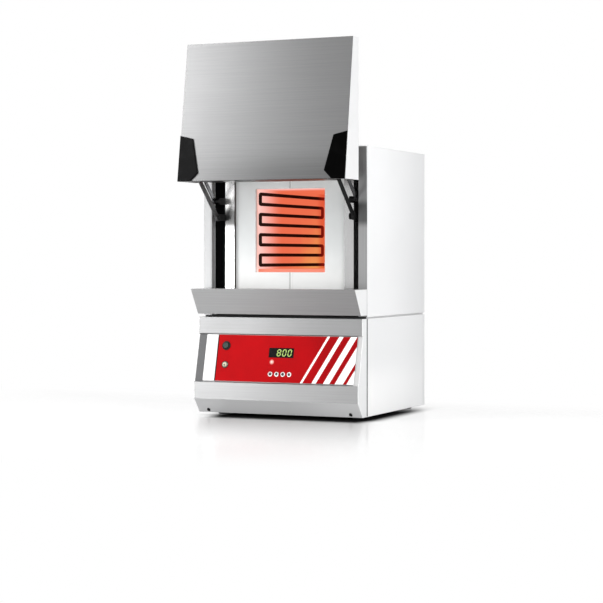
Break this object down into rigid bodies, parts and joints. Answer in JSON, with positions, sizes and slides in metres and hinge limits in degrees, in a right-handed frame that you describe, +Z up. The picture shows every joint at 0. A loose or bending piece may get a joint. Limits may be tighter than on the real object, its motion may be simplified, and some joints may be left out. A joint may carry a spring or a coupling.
{
  "type": "muffle furnace",
  "caption": "Bench-top laboratory muffle furnace with a lift-up wedge door on parallel arms, glowing wire-heated chamber, sloping lip and a control fascia with display.",
  "frame": {"origin": "on the bench, under the middle of the bounding box with the door open", "axes": "+Z up, the door and control panel face -Y, +X to the right as seen from the front"},
  "size_m": [0.435, 0.6609, 0.9057],
  "materials": {
    "feet": "matte",
    "base_floor": "satin",
    "case_white": "satin",
    "seam_black": "matte",
    "front_grey": "satin",
    "panel_red": "gloss",
    "label_white": "gloss",
    "controller": "matte",
    "display": "gloss",
    "status_lamp": "gloss",
    "button": "matte",
    "switch": "satin",
    "rocker": "gloss",
    "bezel": "polished",
    "indicator_lens": "gloss",
    "black_screw": "satin",
    "gland": "matte",
    "fuse": "satin",
    "inner_steel": "polished",
    "fibre_board": "matte",
    "hearth": "matte",
    "element": "matte",
    "terminal": "satin",
    "thermocouple": "satin",
    "vent": "satin",
    "bracket": "satin",
    "arm": "satin",
    "link": "satin",
    "handle": "matte"
  },
  "bodies": {
    "root": {"base_floor": "base_floor", "base_rear_panel": "case_white", "base_side_left": "case_white", "base_side_right": "case_white", "cable_gland": "gland", "channel_backs": "seam_black", "collar_left": "fibre_board", "collar_right": "fibre_board", "control_panel": "panel_red", "controller": "controller", "display_window": "display", "element_left": "element", "element_right": "element", "element_terminals": "terminal", "fascia": "front_grey", "fascia_cheeks": "case_white", "fascia_screws": "black_screw", "feet": "feet", "floor_board": "fibre_board", "front_lip": "front_grey", "fuse_holders": "fuse", "hearth_tile": "hearth", "indicator_bezel": "bezel", "indicator_lens": "indicator_lens", "inner_case": "inner_steel", "label_strip": "label_white", "lip_cheeks": "case_white", "pivot_brackets": "bracket", "power_switch_body": "switch", "rear_board": "fibre_board", "rear_cover": "case_white", "rear_panel": "case_white", "roof_board": "fibre_board", "seam_tray": "seam_black", "side_board_left": "fibre_board", "side_board_right": "fibre_board", "side_panel_left": "case_white", "side_panel_right": "case_white", "status_lamp": "status_lamp", "thermocouple": "thermocouple", "top_panel": "case_white", "vent_tube": "vent"},
    "lift_arms": {"lift_arm_left": "arm", "lift_arm_right": "arm"},
    "guide_links": {"guide_link_left": "link", "guide_link_right": "link"},
    "door": {"door_front": "front_grey", "door_pan": "inner_steel", "door_cheeks": "case_white", "door_plug": "fibre_board", "door_handle_left": "handle", "door_handle_right": "handle", "door_brackets": "bracket"},
    "power_rocker": {"power_switch_rocker": "rocker"},
    "key_1": {"button_1": "button"},
    "key_2": {"button_2": "button"},
    "key_3": {"button_3": "button"},
    "key_4": {"button_4": "button"}
  },
  "joints": [
    {"name": "lift_arm_swing", "type": "hinge", "parent": "root", "child": "lift_arms", "pos_m": [0, -0.18457, 0.48699], "axis": [1, 0, 0], "range_deg": [0, 108]},
    {"name": "door_level", "type": "hinge", "parent": "lift_arms", "child": "door", "pos_m": [0, -0.30253, 0.59509], "axis": [1, 0, 0], "range_deg": [-108, 0]},
    {"name": "guide_link_swing", "type": "hinge", "parent": "root", "child": "guide_links", "pos_m": [0, -0.18457, 0.52699], "axis": [1, 0, 0], "range_deg": [0, 108]},
    {"name": "power_rocker_tilt", "type": "hinge", "parent": "root", "child": "power_rocker", "pos_m": [-0.139, -0.22149, 0.17294], "axis": [1, 0, 0], "range_deg": [0, 16]},
    {"name": "key_1_press", "type": "slide", "parent": "root", "child": "key_1", "axis": [0, 0.9721, -0.2345], "range_m": [0, 0.001], "stiffness_N_per_m": 800, "springref_m": -0.0005},
    {"name": "key_2_press", "type": "slide", "parent": "root", "child": "key_2", "axis": [0, 0.9721, -0.2345], "range_m": [0, 0.001], "stiffness_N_per_m": 800, "springref_m": -0.0005},
    {"name": "key_3_press", "type": "slide", "parent": "root", "child": "key_3", "axis": [0, 0.9721, -0.2345], "range_m": [0, 0.001], "stiffness_N_per_m": 800, "springref_m": -0.0005},
    {"name": "key_4_press", "type": "slide", "parent": "root", "child": "key_4", "axis": [0, 0.9721, -0.2345], "range_m": [0, 0.001], "stiffness_N_per_m": 800, "springref_m": -0.0005}
  ],
  "couplings": [
    {"joint": "door_level", "follows": "lift_arm_swing", "ratio": -1},
    {"joint": "guide_link_swing", "follows": "lift_arm_swing", "ratio": 1}
  ]
}
